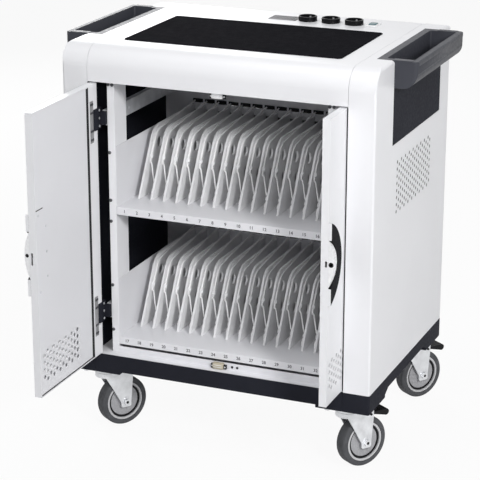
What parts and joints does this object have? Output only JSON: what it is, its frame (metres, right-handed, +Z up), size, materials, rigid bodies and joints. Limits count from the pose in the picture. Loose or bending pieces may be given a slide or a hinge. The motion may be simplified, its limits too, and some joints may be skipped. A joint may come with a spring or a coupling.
{
  "type": "laptop charging cart",
  "caption": "Steel cabinet on swivel casters with pocket doors, slotted shelves with a charging lead for each device, hand grips and mains sockets on top.",
  "frame": {"origin": "on the floor under the middle of the cabinet", "axes": "+X to the cart's right as seen from its front, -Y towards the user at the doors, +Z up"},
  "size_m": [0.88, 0.9086, 0.9872],
  "materials": {
    "body_paint": "satin powder coat",
    "inner_paint": "fine powder coat",
    "dark_base": "fine grain",
    "mat_rubber": "pebbled",
    "black_plastic": "satin",
    "divider_plastic": "satin",
    "lead_jacket": "soft jacket",
    "catch_plastic": "satin",
    "boss_plastic": "semi gloss",
    "zinc_steel": "zinc plated",
    "lock_metal": "black coat",
    "tyre_rubber": "smooth grey",
    "wheel_plastic": "satin"
  },
  "bodies": {
    "cabinet": {"base_frame": "dark_base", "floor_pan": "inner_paint", "left_side_shell": "body_paint", "right_side_shell": "body_paint", "left_pocket_wall": "dark_base", "right_pocket_wall": "dark_base", "left_post": "body_paint", "right_post": "body_paint", "partition": "inner_paint", "rear_panel": "body_paint", "top_cover": "body_paint", "top_mat": "mat_rubber", "left_grip": "dark_base", "right_grip": "dark_base", "left_side_cover": "dark_base", "right_side_cover": "dark_base", "top_sockets": "black_plastic", "upper_shelf": "inner_paint", "lower_shelf": "inner_paint", "upper_dividers": "divider_plastic", "lower_dividers": "divider_plastic", "upper_leads": "lead_jacket", "lower_leads": "lead_jacket", "lead_clips": "divider_plastic", "lead_plugs": "divider_plastic", "door_catches": "catch_plastic", "left_rails": "zinc_steel", "right_rails": "zinc_steel", "upper_power_strip": "black_plastic", "lower_power_strip": "black_plastic", "charge_controller": "dark_base", "mains_inlet": "black_plastic", "caster_plates": "zinc_steel"},
    "left_carriage": {"left_carriages": "dark_base"},
    "left_door": {"left_door_pan": "body_paint", "left_door_liner": "inner_paint", "left_crescent": "black_plastic", "left_latch_boss": "boss_plastic", "left_hinge_pins": "zinc_steel"},
    "door_lock": {"lock_cylinder": "lock_metal"},
    "right_door": {"right_door_pan": "body_paint", "right_door_liner": "inner_paint", "right_crescent": "black_plastic", "right_latch_boss": "boss_plastic", "right_hinge_pins": "zinc_steel", "right_carriages": "dark_base"},
    "front_left_caster": {"fork_fl": "zinc_steel"},
    "front_left_wheel": {"tyre_fl": "tyre_rubber", "wheel_fl": "wheel_plastic"},
    "front_right_caster": {"fork_fr": "zinc_steel"},
    "front_right_wheel": {"tyre_fr": "tyre_rubber", "wheel_fr": "wheel_plastic"},
    "front_right_pedal": {"pedal_fr": "black_plastic"},
    "rear_left_caster": {"fork_rl": "zinc_steel"},
    "rear_left_wheel": {"tyre_rl": "tyre_rubber", "wheel_rl": "wheel_plastic"},
    "rear_right_caster": {"fork_rr": "zinc_steel"},
    "rear_right_wheel": {"tyre_rr": "tyre_rubber", "wheel_rr": "wheel_plastic"},
    "rear_right_pedal": {"pedal_rr": "black_plastic"}
  },
  "joints": [
    {"name": "left_door_slide", "type": "slide", "parent": "cabinet", "child": "left_carriage", "axis": [0, -1, 0], "range_m": [-0.2, 0]},
    {"name": "left_door_swing", "type": "hinge", "parent": "left_carriage", "child": "left_door", "pos_m": [-0.3085, -0.277, 0.56], "axis": [0, 0, 1], "range_deg": [0, 90]},
    {"name": "door_lock_turn", "type": "hinge", "parent": "left_door", "child": "door_lock", "pos_m": [-0.3175, -0.57, 0.558], "axis": [-1, 0, 0], "range_deg": [0, 90]},
    {"name": "right_door_slide", "type": "slide", "parent": "cabinet", "child": "right_door", "axis": [0, -1, 0], "range_m": [0, 0.2]},
    {"name": "front_left_swivel", "type": "hinge", "parent": "cabinet", "child": "front_left_caster", "pos_m": [-0.315, -0.225, 0.15], "axis": [0, 0, 1], "continuous": true},
    {"name": "front_left_roll", "type": "hinge", "parent": "front_left_caster", "child": "front_left_wheel", "pos_m": [-0.29263, -0.19184, 0.0625], "axis": [-0.829, 0.5592, 0], "continuous": true},
    {"name": "front_right_swivel", "type": "hinge", "parent": "cabinet", "child": "front_right_caster", "pos_m": [0.315, -0.225, 0.15], "axis": [0, 0, 1], "continuous": true},
    {"name": "front_right_roll", "type": "hinge", "parent": "front_right_caster", "child": "front_right_wheel", "pos_m": [0.33737, -0.19184, 0.0625], "axis": [-0.829, 0.5592, 0], "continuous": true},
    {"name": "front_right_brake", "type": "hinge", "parent": "front_right_caster", "child": "front_right_pedal", "pos_m": [0.34408, -0.18189, 0.1322], "axis": [-0.829, 0.5592, 0], "range_deg": [0, 12]},
    {"name": "rear_left_swivel", "type": "hinge", "parent": "cabinet", "child": "rear_left_caster", "pos_m": [-0.315, 0.225, 0.15], "axis": [0, 0, 1], "continuous": true},
    {"name": "rear_left_roll", "type": "hinge", "parent": "rear_left_caster", "child": "rear_left_wheel", "pos_m": [-0.29263, 0.25816, 0.0625], "axis": [-0.829, 0.5592, 0], "continuous": true},
    {"name": "rear_right_swivel", "type": "hinge", "parent": "cabinet", "child": "rear_right_caster", "pos_m": [0.315, 0.225, 0.15], "axis": [0, 0, 1], "continuous": true},
    {"name": "rear_right_roll", "type": "hinge", "parent": "rear_right_caster", "child": "rear_right_wheel", "pos_m": [0.33737, 0.25816, 0.0625], "axis": [-0.829, 0.5592, 0], "continuous": true},
    {"name": "rear_right_brake", "type": "hinge", "parent": "rear_right_caster", "child": "rear_right_pedal", "pos_m": [0.34408, 0.26811, 0.1322], "axis": [-0.829, 0.5592, 0], "range_deg": [0, 12]}
  ]
}
